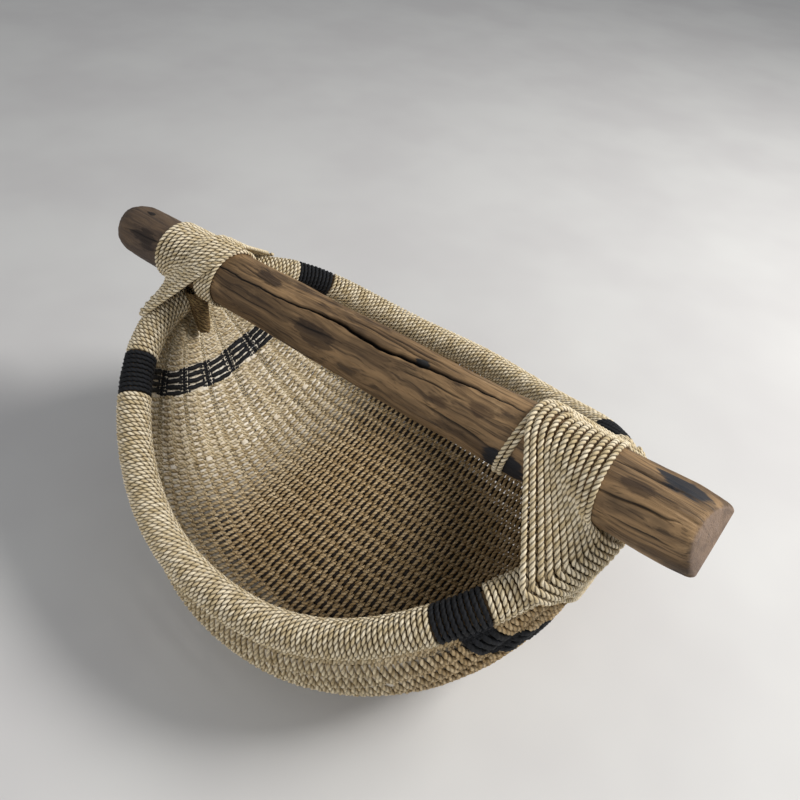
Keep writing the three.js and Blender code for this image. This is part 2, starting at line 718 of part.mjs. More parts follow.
// The cord-bound head of the keel ribs, from under the bar to the inside of the weave
function addBundles() {
  const ends = [
    { name: 'rib_bundle_round_end', side: -1 },
    { name: 'rib_bundle_sawn_end', side: 1 },
  ];
  for (const end of ends) {
    const pole = end.side > 0 ? POLES[1] : POLES[0];
    const x = pole - end.side * BUNDLE_INSET;
    const topZ = barAxisZ(x) - barRadius(x) + FACET_ROOM / 2;
    const rings = [];
    const steps = 5;
    const sides = 8;
    for (let i = 0; i <= steps; i += 1) {
      const t = i / steps;
      const radius = mix(BUNDLE_TIP_RADIUS, BUNDLE_RADIUS, t ** 0.7);
      const z = topZ - BUNDLE_LENGTH * (1 - t);
      const centreX = x - end.side * 7 * (1 - t);
      const ring = Array.from({ length: sides }, (_, j) => {
        const angle = (j / sides) * 2 * HALF_TURN;
        return new THREE.Vector3(centreX + radius * Math.cos(angle), barAxisY(x) + radius * Math.sin(angle), z);
      });
      rings.push(ring);
    }
    addMesh(end.name, loft(rings), DARK_STRAW);
  }
}

addBar();
addHoop();
addRimWraps();
addBlackWraps();
addWeave();
addRibs();
addBundles();
addLashings();
addBarTurns();

export default basket;
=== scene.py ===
"""Looks of the driftwood basket: woven cords, splints, windings and the weathered bar.

Everything is built round the CAD frame. Lengths are worked out in millimetres, as in the part's
source, and made metres where a mesh is written. Materials, lamps and the camera take metres.
"""
import math

import bmesh
import bpy
import numpy as np
from mathutils import Matrix, Vector, noise


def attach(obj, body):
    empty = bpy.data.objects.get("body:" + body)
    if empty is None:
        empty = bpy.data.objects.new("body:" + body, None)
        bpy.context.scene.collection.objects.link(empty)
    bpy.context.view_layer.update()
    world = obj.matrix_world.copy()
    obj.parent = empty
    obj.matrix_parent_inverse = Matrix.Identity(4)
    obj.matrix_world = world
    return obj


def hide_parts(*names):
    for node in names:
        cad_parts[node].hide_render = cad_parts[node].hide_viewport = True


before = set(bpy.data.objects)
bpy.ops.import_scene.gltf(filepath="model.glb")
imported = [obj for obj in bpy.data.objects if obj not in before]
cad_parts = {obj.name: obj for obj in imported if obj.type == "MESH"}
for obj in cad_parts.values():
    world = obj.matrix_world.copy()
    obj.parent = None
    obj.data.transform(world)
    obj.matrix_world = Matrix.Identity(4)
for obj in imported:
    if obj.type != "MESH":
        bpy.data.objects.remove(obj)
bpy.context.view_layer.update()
MM = 0.001
TINY = 1e-4
FULL_TURN = 2 * math.pi

# Rim
RIM_HALF_LENGTH = 241
RIM_HALF_WIDTH = 209
RIM_SHIFT = 15
RIM_HEIGHT = 117
RIM_END_RISE = 89
RISE_START = 2.9
RISE_FINISH = 1.6
HOOP_RADIUS = 10.6
RIM_WRAP_RADIUS = 16

# Bowl
BOWL_DEPTH = 112.3
POINT_DEPTH = 139
HANG_POWER = 1.56
HANG_POWER_ENDS = 0.42
HANG_POWER_SAWN_END = -0.12
BULGE = 0.075
FULLNESS = 0.18
FULLNESS_SIDES = 0.59
FULLNESS_ENDS = 0.16
FULLNESS_SAWN_END = 0.11
SKEW = -0.166
FOOT_BLEND = 2.5
END_CROWDING = 0.047
SAWN_END_CROWDING = 0.037
EDGE_DISTANCE = 17.35

# Weave: sizes of its cords and the angles along the bowl at which its zones start and end
RIB_COUNT = 31
WEAVE_CORD = 2.1
WEAVE_LAY = 9.5
WEAVE_SIDES = 6
WEAVE_WAIST = 0.78
BLACK_WEAVE_CORD = 2.4
BLACK_WEAVE_WAIST = 0.86
ROW_ANGLE = math.radians(0.641)
ROW_STEP = 1.75
ROW_TAIL = np.array([2.6, 1.3])
ROW_SWAY = ((0.3, 1.7), (0.2, 4.1))
SWAY_DEPTH = 0.08
FLOOR_CLEARANCE = 1.2
WEAVE_END_ROUND = math.radians(71.5)
WEAVE_END_SAWN = math.radians(73)
BAND_HALF = math.radians(2.85)
BAND_ROWS = 8
BAND_X_ROUND_END = -180.5
BAND_X_SAWN_END = 209

# How far the cords wave in and out round the ribs, and how full each crest is
WEAVE_WAVE = 2.75
GATHERED_WAVE = 2.4
WAVE_LIMIT = 0.35
SINGLE_CREST = 0.7
GROUP_CREST = 0.34
GROUP_SLOPE = 0.54

# How thick the rows' cords are, as shares of their radius
SINGLE_THICKNESS = 0.92
GATHERED_THICKNESS = 1.06
CREST_SWELL = 0.1
SAWN_END_SWELL = 0.14

# How the ribs draw together in groups, from the bowl's middle (0) to a black band (1)
GATHERED = 4
GATHERED_PITCH = 0.88
GATHERING_ROUND_END = 0.4
GATHERING_SAWN_END = 0.58
GATHERED_FROM = 0.94
PAIRED_FROM = 0.66

# Splints: widths are in millimetres, shares are of the ribs' pitch
RIB_END = math.radians(70)
RIB_STATIONS = 96
RIB_LANES = 4
RIB_WIDTH = 9.0
RIB_WIDTH_GATHERED = 8.2
RIB_SHARE = 0.55
RIB_SHARE_GATHERED = 0.98 * GATHERED_PITCH
RIB_HALF_THICKNESS = 0.75
RIB_CROWN = 0.35

# Driftwood bar
BAR_HALF_LENGTH = 330
BAR_RADIUS_ROUND_END = 26.4
BAR_RADIUS_MIDDLE = 29.4
BAR_RADIUS_SAWN_END = 31.8
BAR_Y_ROUND_END = -15
BAR_Y_SAWN_END = -2
SEAT_GAP = 0.3

# Its ends: the round snout, the sawn end's shoulder and chamfer, and the slant of the sawn face
SNOUT_TIP = -323
SNOUT_LENGTH = 30
SAWN_SHOULDER = 30
SAWN_CHAMFER = 8
SLANT = 15
SLANT_LENGTH = 42
SLANT_LEVEL = 36
SNOUT_RINGS = 24
BODY_RINGS = 232
SHOULDER_RINGS = 12
CHAMFER_RINGS = 10
FACE_RINGS = 22
BAR_SIDES = 240

# The bar is swollen and lumpy only away from its seats on the rim, which the cords hold
SEAT_HALF = 84
SEAT_FADE = 50
END_FREE = 262
END_FADE = 30
LUMP_HEIGHT = 2.2
LUMP_SHIFT = Vector((3.1, 0, 0))

# Marks on the bar, in degrees from the back (0) over the top (90) to the front (180)
CRACK_RUN = (-195, -127, -78, -40, -14, 35, 76, 122, 170)
CRACK_ANGLE = (118, 126, 123, 115, 111, 115, 109, 102, 98)
CRACK_WIDTH = (0.3, 0.5, 0.7, 1.1, 1.8, 2.3, 1.9, 0.9, 0.4)
CRACK_DEPTH = (0.8, 1.6, 2.2, 4.0, 6.5, 7.0, 6.0, 3.0, 1.0)
CRACK_WAVER = ((0.98, 0.07), (0.63, 0.19), (0.42, 0.43))
CRACK_LIP = 0.5
CHECK_LIP = 0.3
CHECKS = (
    # start and end along the bar, the angles there, half width, depth
    (-15, 95, 92, 97, 0.75, 1.5),
    (0, 110, 85, 90, 0.7, 1.3),
    (-70, 5, 148, 140, 0.8, 1.4),
    (60, 130, 132, 127, 0.7, 1.2),
    (84, 172, 166, 176, 1.6, 2.6),
    (236, 318, 148, 133, 1.2, 2.4),
    (256, 320, 172, 168, 0.9, 1.8),
    (236, 300, 100, 92, 0.8, 1.6),
    (-175, -60, 152, 158, 0.7, 1.2),
    (-150, -90, 100, 104, 0.7, 1.2),
    (-300, -215, 150, 140, 0.7, 1.0),
    (-130, 160, 20, 8, 1.0, 2.0),
    (-90, 150, -60, -72, 1.0, 2.0),
    (-120, 90, -130, -118, 1.0, 1.8),
    (250, 322, 40, 52, 1.0, 2.0),
    (246, 322, -50, -60, 1.0, 2.2),
)
STAINED_PATCHES = (
    # centre and reach in metres, colour, strength: burnt patches, knots and stains
    ((0.173, -0.037, 0.248), (0.019, 0.02, 0.016), "14171d", 0.96),
    ((0.294, 0.002, 0.286), (0.021, 0.0085, 0.012), "1d222a", 0.95),
    ((0.076, -0.016, 0.281), (0.0065, 0.0042, 0.006), "1f2429", 0.95),
    ((0.142, -0.026, 0.275), (0.017, 0.006, 0.006), "3a281b", 0.6),
    ((0.102, -0.031, 0.268), (0.014, 0.005, 0.006), "3a281b", 0.6),
    ((0.268, -0.018, 0.283), (0.012, 0.005, 0.006), "2b1e17", 0.6),
    ((-0.104, -0.013, 0.277), (0.016, 0.007, 0.008), "2a1d14", 0.75),
    ((-0.03, -0.034, 0.262), (0.022, 0.009, 0.009), "2a1d14", 0.7),
    ((-0.278, -0.014, 0.275), (0.006, 0.004, 0.006), "1b1411", 0.95),
    ((-0.262, -0.036, 0.262), (0.02, 0.012, 0.012), "241a15", 0.8),
    ((0.318, -0.03, 0.232), (0.02, 0.012, 0.012), "2b2120", 0.8),
)

# Where weave and splints darken, in metres, partly in their own browner tone and partly as painted
# shade: not up to the first value, fully from the second
BROWNED_AND_SHADED_X = (-0.16, -0.04)
RIB_DARK_AND_SHADED_X = (-0.165, -0.085)
BROWNED_AND_SHADED_Y = (-0.19, -0.12)

# Windings. A waist is how narrow a cord is between its two plies, as a share of its radius
CORD = 2.14
CORD_LAY = 9.5
CORD_STEP = 1.2
RIM_CORD_SIDES = 8
LASHING_SIDES = 10
WRAP_PITCH = 4.55
WRAP_WAIST = 0.7
BLACK_CORD = 2.33
BLACK_TURNS = 9
BLACK_PITCH = 4.65
BLACK_WAIST = 0.74
WINDING_GAP = 0.4
WINDING_STEP = 1.3
WINDING_DRIFT = (0.3, 0.12)
WINDING_LEAN = 0.7
WINDING_WOBBLE = 0.12
LOOP_ROUNDNESS = 1.15
TOP_ROLL = math.radians(60)

# A lashing's values at its first and last turn: how far to the front and back its loops bend, how far
# they drop below the rim, and where it crosses the bar's front, top and back. hang is how far the loops
# lean in under the rim, layers how far every other turn is raised
LASHING_ROUND_END = {
    "front_bend": (-78, -24), "back_bend": (83, 16), "drop": (72, -4),
    "front": (-160, -241), "top": (-149, -238), "back": (-158, -240),
    "hang": math.radians(36), "turns": 14, "cord": 2.2, "layers": 1.3,
}
LASHING_SAWN_END = {
    "front_bend": (-93, -21), "back_bend": (90, 20), "drop": (82, 0),
    "front": (182, 252), "top": (173, 245), "back": (180, 250),
    "hang": math.radians(14), "turns": 12, "cord": 2.35, "layers": 0,
}
LASHING_WAIST = 0.7
OVER_BAR = 0.8

# Windings on the bar alone, by end: number of turns, greatest x of their middle line, lean
BAR_TURNS = {-1: (5, -158, 3), 1: (2, 176, 7)}
BAR_TURN_PITCH = 4.7
BAR_TURN_WAIST = 0.68
PILE_FADE = 11

# Horns of bound ribs: node, end, x and y of head and tip, radius, height of the tip
HORNS = (
    ("rib_bundle_round_end", -1, (-208, -23), (-205, -20), 11, 166),
    ("rib_bundle_sawn_end", 1, (229, -4), (224, -4), 8, 176),
)
HORN_CORD = 1.95
HORN_LAY = 8
HORN_WAIST = 0.72
HORN_PITCH = 3.3
HORN_TIP = 3.0
HORN_TAPER = 0.45
HORN_INSET = 1.9

# Camera and light, fitted to the photograph
CAMERA_PLACE = (0.3250, -0.3993, 0.6512)
CAMERA_RIGHT = (0.77687, 0.625, 0.07651)
CAMERA_UP = (-0.46551, 0.48826, 0.73817)
CAMERA_FORWARD = (-0.424, 0.60908, -0.67026)
CAMERA_LENS = 32.34
CAMERA_SENSOR = 36
LAMP_AIM = (0, 0, 0.1)
FLOOR_HALF = 6


# Small geometry helpers

def unit(v):
    return v / np.maximum(np.linalg.norm(v, axis=-1, keepdims=True), 1e-12)


def mix(a, b, t):
    return a + (b - a) * t


def smooth(t):
    t = np.clip(t, 0, 1)
    return t * t * (3 - 2 * t)


def bisect(test, low, high):
    low = np.array(low, float)
    high = np.array(high, float)
    for _ in range(26):
        middle = (low + high) / 2
        ok = test(middle)
        low = np.where(ok, middle, low)
        high = np.where(ok, high, middle)
    return low


def resample(points, spacing, rounding=0):
    """Even points along a path, with its corners rounded."""
    for _ in range(2):
        steps = np.linalg.norm(np.diff(points, axis=0), axis=1)
        run = np.concatenate([[0], np.cumsum(steps)])
        count = max(2, int(round(run[-1] / spacing)) + 1)
        at = np.linspace(0, run[-1], count)
        points = np.stack([np.interp(at, run, points[:, k]) for k in range(3)], -1)
        for _ in range(rounding):
            points[1:-1] = points[1:-1] / 2 + (points[:-2] + points[2:]) / 4
    return points


# Rim curve and bowl surface, as in the part's source

def rim_rise(c):
    along = np.minimum(np.abs(c), 1)
    return RIM_END_RISE * (1 - np.maximum(1 - along ** RISE_START, 0) ** RISE_FINISH)


def rim_point(turn):
    turn = np.asarray(turn, float)
    x = RIM_SHIFT + RIM_HALF_LENGTH * np.cos(turn)
    return np.stack([x, RIM_HALF_WIDTH * np.sin(turn), RIM_HEIGHT + rim_rise(np.cos(turn))], -1)


def rim_frame(turn):
    """The directions out from the rim and up, both square to it."""
    along = unit(rim_point(np.asarray(turn) + TINY) - rim_point(np.asarray(turn) - TINY))
    out = unit(np.stack([along[..., 1], -along[..., 0], np.zeros_like(along[..., 0])], -1))
    up = np.cross(out, along)
    return out, up * np.sign(up[..., 2:3])


def rim_turn(x, side):
    """The turn at which the rim passes x on the front (side -1) or the back (1)."""
    return side * math.acos((x - RIM_SHIFT) / RIM_HALF_LENGTH)


def rim_run(start, length, count):
    """Turns at even steps of length along the rim from a starting turn."""
    turns = start + np.sign(length) * np.linspace(0, math.pi * 1.9, 4000)
    steps = np.linalg.norm(np.diff(rim_point(turns), axis=0), axis=1)
    run = np.concatenate([[0], np.cumsum(steps)])
    return np.interp(np.linspace(0, abs(length), count), run, turns)


def rim_length(start, end):
    points = rim_point(np.linspace(start, end, 2000))
    return np.linalg.norm(np.diff(points, axis=0), axis=1).sum()


RIM_SAMPLES = rim_point(np.linspace(0, FULL_TURN, 720, endpoint=False))


def distance_to_rim(points):
    return np.linalg.norm(points[:, None] - RIM_SAMPLES[None], axis=-1).min(1)


def bowl_from_direction(x, y, depth):
    """A point of the bowl from a direction in a half sphere, whose rim is the basket's."""
    down = np.maximum(depth, 0)
    fullness = FULLNESS + FULLNESS_SAWN_END * x + FULLNESS_SIDES * y * y + FULLNESS_ENDS * x * x
    spread = 1 + BULGE * down + fullness * down * down + SKEW * x * y * down
    drop = down ** (HANG_POWER + HANG_POWER_ENDS * x * x + HANG_POWER_SAWN_END * x)
    hang = rim_rise(x) * (1 - drop) - POINT_DEPTH * drop
    soft = FOOT_BLEND * np.log1p(np.exp((hang + BOWL_DEPTH) / FOOT_BLEND))
    z = RIM_HEIGHT - BOWL_DEPTH + soft
    return np.stack([RIM_SHIFT + RIM_HALF_LENGTH * spread * x, RIM_HALF_WIDTH * spread * y, z], -1)


def bowl_point(along, across):
    """A point of the bowl from its angle along it, end to end, and across it, front to back."""
    crowding = END_CROWDING + SAWN_END_CROWDING * np.sin(along)
    angle = along * (1 + crowding * np.cos(across) ** 2 * (1 - (along / (math.pi / 2)) ** 2))
    ring = np.cos(angle)
    return bowl_from_direction(np.sin(angle), ring * np.sin(across), ring * np.cos(across))


def bowl_inward(along, across):
    da = bowl_point(along + TINY, across) - bowl_point(along - TINY, across)
    db = bowl_point(along, across + TINY) - bowl_point(along, across - TINY)
    return unit(np.cross(da, db))


class Wall:
    """Rows of the wall at given angles along the bowl, with positions across counted in ribs."""

    samples = 361

    def __init__(self, along):
        self.along = np.atleast_1d(np.asarray(along, float))

        def clear(across):
            return distance_to_rim(bowl_point(self.along, across)) > EDGE_DISTANCE

        none = np.zeros_like(self.along)
        edge = bisect(clear, none, none + math.pi / 2)
        self.angles = edge[:, None] * np.linspace(-1, 1, self.samples)[None]
        points = bowl_point(self.along[:, None], self.angles)
        steps = np.linalg.norm(np.diff(points, axis=1), axis=-1)
        self.lengths = np.concatenate([none[:, None], np.cumsum(steps, axis=1)], axis=1)

    def girth(self):
        return self.lengths[:, -1]

    def place(self, ribs, inset):
        """Points of row i at ribs[i], pushed inwards by inset[i]."""
        across = np.stack([
            np.interp(r / RIB_COUNT * total[-1], total, angles)
            for r, total, angles in zip(ribs, self.lengths, self.angles)
        ])
        along = self.along[:, None]
        return bowl_point(along, across) + bowl_inward(along, across) * inset[..., None]


def band_along(x):
    return math.asin((x - RIM_SHIFT) / RIM_HALF_LENGTH)


ROUND_BAND = band_along(BAND_X_ROUND_END)
SAWN_BAND = band_along(BAND_X_SAWN_END)


def pairing(along):
    """How far the ribs have drawn together: not at the bowl's middle, fully at the black bands."""
    reach = np.where(along < 0, along / ROUND_BAND, along / SAWN_BAND)
    start = np.where(along < 0, GATHERING_ROUND_END, GATHERING_SAWN_END)
    return smooth((np.clip(reach, 0, 1) - start) / (GATHERED_FROM - start))


# Materials

class Value:
    """A number that varies over a surface. Arithmetic on it adds Math nodes."""

    def __init__(self, finish, socket):
        self.finish = finish
        self.socket = socket

    def op(self, operation, *others):
        inputs = {i: value for i, value in enumerate((self, *others))}
        return self.finish.value("ShaderNodeMath", {"operation": operation}, inputs)

    def reflected(self, operation, other):
        return self.finish.value("ShaderNodeMath", {"operation": operation}, {0: other, 1: self})

    def __add__(self, other):
        return self.op("ADD", other)

    def __radd__(self, other):
        return self.reflected("ADD", other)

    def __sub__(self, other):
        return self.op("SUBTRACT", other)

    def __rsub__(self, other):
        return self.reflected("SUBTRACT", other)

    def __mul__(self, other):
        return self.op("MULTIPLY", other)

    def __rmul__(self, other):
        return self.reflected("MULTIPLY", other)

    def __truediv__(self, other):
        return self.op("DIVIDE", other)

    def clamped(self):
        return self.finish.value("ShaderNodeClamp", {}, {"Value": self, "Min": 0.0, "Max": 1.0})

    def ramp(self, low, high):
        inputs = {"Value": self, "From Min": low, "From Max": high, "To Min": 0.0, "To Max": 1.0}
        settings = {"clamp": True, "interpolation_type": "SMOOTHSTEP"}
        return self.finish.value("ShaderNodeMapRange", settings, inputs)


class Finish:
    """One material, whose nodes are made by node() and whose arithmetic is written as expressions."""

    def __init__(self, name, roughness=0.8, specular=0.35):
        self.material = bpy.data.materials.new(name)
        self.material.use_nodes = True
        self.tree = self.material.node_tree
        self.shader = self.tree.nodes["Principled BSDF"]
        self.shader.inputs["Roughness"].default_value = roughness
        self.shader.inputs["Specular IOR Level"].default_value = specular

    def node(self, kind, settings, inputs):
        made = self.tree.nodes.new(kind)
        for key, value in settings.items():
            setattr(made, key, value)
        for key, value in inputs.items():
            socket = made.inputs[key]
            if isinstance(value, Value):
                self.tree.links.new(value.socket, socket)
            elif isinstance(value, bpy.types.NodeSocket):
                self.tree.links.new(value, socket)
            else:
                socket.default_value = value
        return made

    def value(self, kind, settings, inputs):
        return Value(self, self.node(kind, settings, inputs).outputs[0])

    def colour(self, factor, first, second, blend="MIX"):
        settings = {"data_type": "RGBA", "blend_type": blend}
        return self.node("ShaderNodeMix", settings, {0: factor, 6: first, 7: second}).outputs[2]

    def place(self):
        return self.node("ShaderNodeTexCoord", {}, {}).outputs["Object"]

    def fibre(self):
        settings = {"attribute_type": "GEOMETRY", "attribute_name": "fibre"}
        return self.node("ShaderNodeAttribute", settings, {}).outputs["Vector"]

    def stretched(self, vector, scale, shift=(0, 0, 0)):
        inputs = {"Vector": vector, "Scale": scale, "Location": shift}
        return self.node("ShaderNodeMapping", {}, inputs).outputs[0]

    def grain(self, vector, scale, detail=2.0, roughness=0.55):
        inputs = {"Vector": vector, "Scale": scale, "Detail": detail, "Roughness": roughness}
        return self.value("ShaderNodeTexNoise", {}, inputs)

    def parts(self, vector):
        split = self.node("ShaderNodeSeparateXYZ", {}, {"Vector": vector})
        return [Value(self, output) for output in split.outputs]

    def finish(self, colour, roughness, height, strength, distance):
        links = self.tree.links
        links.new(colour, self.shader.inputs["Base Color"])
        if roughness is not None:
            links.new(roughness.socket, self.shader.inputs["Roughness"])
        if height is not None:
            inputs = {"Height": height, "Strength": strength, "Distance": distance}
            bump = self.node("ShaderNodeBump", {}, inputs)
            links.new(bump.outputs[0], self.shader.inputs["Normal"])
        return self.material


def linear(code):
    """A colour written as six hex digits, in the linear values that sockets take."""
    parts = [int(code[i:i + 2], 16) / 255 for i in (0, 2, 4)]
    return tuple(c / 12.92 if c <= 0.04045 else ((c + 0.055) / 1.055) ** 2.4 for c in parts) + (1.0,)


def cord_finish(name, tones, roughness=0.82, specular=0.3, browned_and_shaded=None):
    """Twisted plant cord: fibres follow the lay, the tone drifts along it, and painted shade darkens
    the grooves between its plies. An optional colour darkens it inside the bowl, partly in tone and
    partly as painted shade.
    """
    pale, mid, dark, groove_shade = [linear(tone) for tone in tones]
    f = Finish(name, roughness, specular)
    fibre = f.fibre()
    sine = f.parts(fibre)[1]
    drift = f.grain(f.stretched(fibre, (0.25, 0.25, 0.05)), 1.0, 2.0)
    strands = f.grain(f.stretched(fibre, (3.2, 3.2, 0.16)), 1.0, 3.0, 0.6)
    flecks = f.grain(f.place(), 700.0, 2.0)
    tone = f.colour(drift.ramp(0.36, 0.64), mid, pale)
    tone = f.colour(strands.ramp(0.5, 0.78) * 0.85, tone, dark)
    tone = f.colour(flecks.ramp(0.5, 0.85) * 0.45, tone, dark)
    # Painted shade in the grooves between the two plies
    groove = (sine * sine).ramp(0.4, 1.0)
    tone = f.colour(groove * 0.85, tone, groove_shade)
    # Away from the round end and the outer front wall the weave is multiplied darker: partly the
    # straw's own browner tone, partly painted shade of the bowl's inside
    if browned_and_shaded:
        x, y, _ = f.parts(f.place())
        tone = f.colour(x.ramp(*BROWNED_AND_SHADED_X) * y.ramp(*BROWNED_AND_SHADED_Y), tone, browned_and_shaded, "MULTIPLY")
    rough = 0.7 + strands * 0.25
    height = strands * 0.7 + flecks * 0.3 - groove * 0.25
    return f.finish(tone, rough, height, 0.6, 0.0009)


def splint_finish():
    """Peeled splint: pale and blotched, with long grain, and dark brown inside the bowl's middle,
    partly its own darker tone and partly painted shade.
    """
    f = Finish("peeled_splint", 0.6, 0.35)
    place = f.place()
    x, y, _ = f.parts(place)
    long_grain = f.grain(f.stretched(place, (12, 220, 220)), 1.0, 4.0, 0.6)
    blotch = f.grain(place, 34.0, 3.0)
    tone = f.colour(blotch.ramp(0.35, 0.7), linear("dccfb8"), linear("f2eadb"))
    tone = f.colour(long_grain.ramp(0.5, 0.85) * 0.6, tone, linear("a48c6c"))
    # Dark brown in the middle of the bowl, away from its outer front wall: partly the splints' own
    # darker tone, partly painted shade in the weave's windows
    tone = f.colour(x.ramp(*RIB_DARK_AND_SHADED_X) * y.ramp(*BROWNED_AND_SHADED_Y), tone, linear("1c130b"))
    return f.finish(tone, 0.5 + long_grain * 0.3, long_grain, 0.35, 0.0006)


def hoop_finish():
    f = Finish("hoop_cane", 0.6, 0.35)
    place = f.place()
    grain = f.grain(f.stretched(place, (60, 60, 220)), 1.0, 4.0)
    tone = f.colour(grain.ramp(0.35, 0.7), linear("7a5f40"), linear("a98c64"))
    return f.finish(tone, 0.5 + grain * 0.3, grain, 0.4, 0.0008)


def driftwood_finish():
    """Weathered wood: wavering grain, blotches, burnt patches, a grey snout and a worn sawn end, with
    painted shade along its lower front and in its cracks.
    """
    f = Finish("weathered_driftwood", 0.62, 0.35)
    place = f.place()
    x, y, z = f.parts(place)
    waves = {"Vector": f.stretched(place, (11, 26, 26)), "Scale": 1.0, "Detail": 2.0}
    drift = f.node("ShaderNodeTexNoise", {}, waves)
    scaled = {0: drift.outputs["Color"], 1: (0.0, 0.022, 0.022), 2: place}
    bent = f.node("ShaderNodeVectorMath", {"operation": "MULTIPLY_ADD"}, scaled).outputs[0]
    fine = f.grain(f.stretched(bent, (9, 620, 620)), 1.0, 4.0, 0.65)
    lines = f.grain(f.stretched(bent, (5, 240, 240), (0.7, 0, 0)), 1.0, 3.0, 0.6)
    bands = f.grain(f.stretched(bent, (6, 75, 75), (0.3, 0, 0)), 1.0, 4.0, 0.6)
    blotch = f.grain(f.stretched(place, (17, 34, 34), (1.7, 0.4, 0)), 1.0, 5.0, 0.65)
    stain = f.grain(f.stretched(place, (10, 26, 26), (4.1, 2.0, 0.6)), 1.0, 4.0, 0.6)
    tone = f.colour(bands.ramp(0.34, 0.64), linear("5f4a33"), linear("9c7d58"))
    tone = f.colour(blotch.ramp(0.52, 0.7) * 0.7, tone, linear("b3946c"))
    tone = f.colour(stain.ramp(0.5, 0.68) * 0.75, tone, linear("3a2c1f"))
    tone = f.colour(lines.ramp(0.53, 0.66) * 0.7, tone, linear("2c2017"))
    tone = f.colour(fine.ramp(0.5, 0.72) * 0.6, tone, linear("241a12"))
    # Painted shade along the bar's lower front
    shade = (y * -1.0).ramp(0.024, 0.036) * (0.262 - z).ramp(0.0, 0.02)
    tone = f.colour(shade * 0.45, tone, linear("2b1f15"))
    snout = ((-0.205 - x) / 0.04).clamped() * (0.65 + 0.35 * bands)
    tone = f.colour(snout.clamped() * 0.85, tone, linear("4b3f38"))
    facing = f.node("ShaderNodeNewGeometry", {}, {}).outputs["Normal"]
    toward_end = f.parts(facing)[0]
    worn = toward_end.ramp(0.45, 0.75) * ((x - 0.29) / 0.01).clamped()
    tone = f.colour(worn * (0.6 + 0.4 * bands.ramp(0.3, 0.7)) * 0.9, tone, linear("8c786a"))
    for centre, size, colour, depth in STAINED_PATCHES:
        places = {0: place, 1: centre}
        away = f.node("ShaderNodeVectorMath", {"operation": "SUBTRACT"}, places).outputs[0]
        shares = {0: away, 1: tuple(1 / length for length in size)}
        ratio = f.node("ShaderNodeVectorMath", {"operation": "MULTIPLY"}, shares).outputs[0]
        reach = f.node("ShaderNodeVectorMath", {"operation": "LENGTH"}, {0: ratio}).outputs["Value"]
        edge = 1 - (Value(f, reach) + (blotch - 0.5) * 3.0 + (lines - 0.5) * 1.6)
        tone = f.colour(edge.ramp(0.0, 0.35) * depth, tone, linear(colour))
    # Painted shade deep in the main crack and the checks
    settings = {"attribute_type": "GEOMETRY", "attribute_name": "crack_shade"}
    crack_shade = Value(f, f.node("ShaderNodeAttribute", settings, {}).outputs["Fac"])
    tone = f.colour((crack_shade * 1.2).clamped(), tone, linear("120c08"))
    rough = 0.5 + fine * 0.35
    return f.finish(tone, rough, fine * 0.45 + lines * 0.35 + bands * 0.2, 0.75, 0.002)


STRAW = cord_finish("twisted_straw", ("f7e9cc", "cfbb93", "8a7350", "3a2c18"))
# The woven straw is darkened inside the bowl, partly in its own browner tone and partly as painted
# shade
WEAVE_STRAW = cord_finish("woven_straw", ("e6d7b7", "baa680", "7e6744", "3f2f1b"),
                          browned_and_shaded=(0.82, 0.72, 0.6, 1))
# Straw painted darker as the shade under the bar, for the horns of bound ribs
SHADED_STRAW = cord_finish("shaded_straw", ("8f7850", "6e5738", "4a3820", "2c2012"))
BLACK = cord_finish("black_cord", ("15171d", "0d0e12", "07080a", "040405"), 0.5, 0.4)
SPLINT = splint_finish()
CANE = hoop_finish()
DRIFTWOOD = driftwood_finish()


# Cords

def two_ply(sides, waist):
    """Radii of a cord of two plies, seen end on: full at the plies and narrow between them."""
    angles = np.arange(sides) * FULL_TURN / sides
    return 1 - (1 - waist) * np.sin(angles) ** 2


def adopt(name, mesh, material, slot, *nodes):
    """Puts a finished mesh in the scene in place of the CAD nodes that it stands for."""
    piece = bpy.data.objects.new(name, mesh)
    bpy.context.collection.objects.link(piece)
    mesh.materials.append(material)
    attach(piece, "root")
    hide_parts(*nodes)


